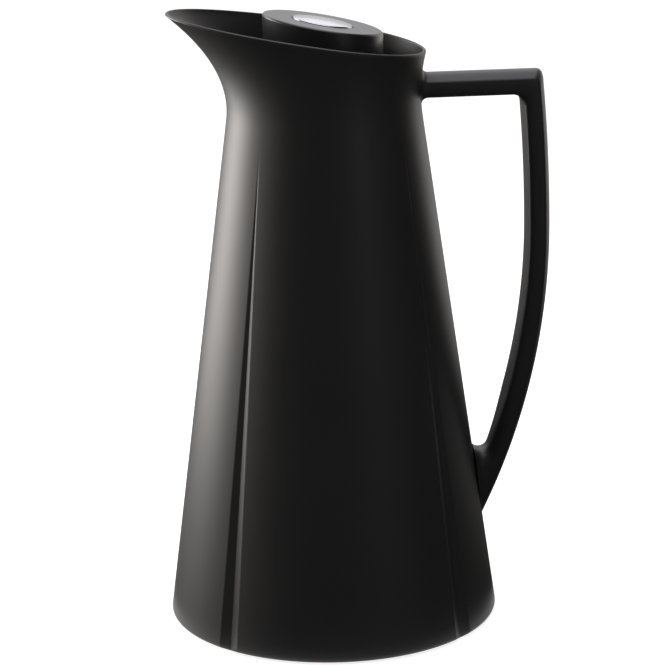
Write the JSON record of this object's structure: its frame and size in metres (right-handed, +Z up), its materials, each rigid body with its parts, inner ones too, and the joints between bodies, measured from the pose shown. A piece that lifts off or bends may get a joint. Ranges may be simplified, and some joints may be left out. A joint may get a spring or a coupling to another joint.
{
  "type": "thermal jug",
  "caption": "Conical vacuum jug with a drawn spout, tapering V-grooves, a squared loop handle and a round slanted stopper whose metal push button opens a pouring valve.",
  "frame": {"origin": "on the jug's axis, in the plane it stands on", "axes": "+Z up, spout towards -X, handle towards +X"},
  "size_m": [0.187, 0.1592, 0.296],
  "materials": {
    "casing_plastic": "satin black moulded plastic",
    "lid_plastic": "satin black moulded plastic",
    "inner_plastic": "matte black moulded plastic",
    "bush_plastic": "natural white slide plastic",
    "polished_cap": "polished steel",
    "steel": "drawn stainless steel",
    "seal_rubber": "dark silicone",
    "foot_rubber": "matte black rubber",
    "silvered_glass": "silvered flask glass",
    "felt": "pressed felt"
  },
  "bodies": {
    "jug": {"outer_shell": "casing_plastic", "handle": "casing_plastic", "handle_screws": "steel", "base_plate": "inner_plastic", "base_screws": "steel", "foot_pad": "foot_rubber", "liner_inner_flask": "silvered_glass", "liner_outer_flask": "silvered_glass", "liner_spacers": "felt", "liner_cushion": "foot_rubber", "pour_collar": "inner_plastic", "collar_gasket": "seal_rubber", "neck_seal": "seal_rubber"},
    "stopper": {"stopper_body": "inner_plastic", "stopper_cover": "lid_plastic", "stopper_seal": "seal_rubber", "stem_bush": "bush_plastic", "return_spring": "steel"},
    "button": {"button_cap": "polished_cap", "button_plunger": "inner_plastic", "valve_stem": "steel", "valve_disc": "bush_plastic", "valve_gasket": "seal_rubber", "valve_nut": "steel"}
  },
  "joints": [
    {"name": "stopper_lift", "type": "slide", "parent": "jug", "child": "stopper", "axis": [0, 0, 1], "range_m": [0, 0.105]},
    {"name": "button_press", "type": "slide", "parent": "stopper", "child": "button", "axis": [0, 0, -1], "range_m": [0, 0.005], "stiffness_N_per_m": 500, "springref_m": -0.006, "deforming": ["return_spring"]}
  ]
}
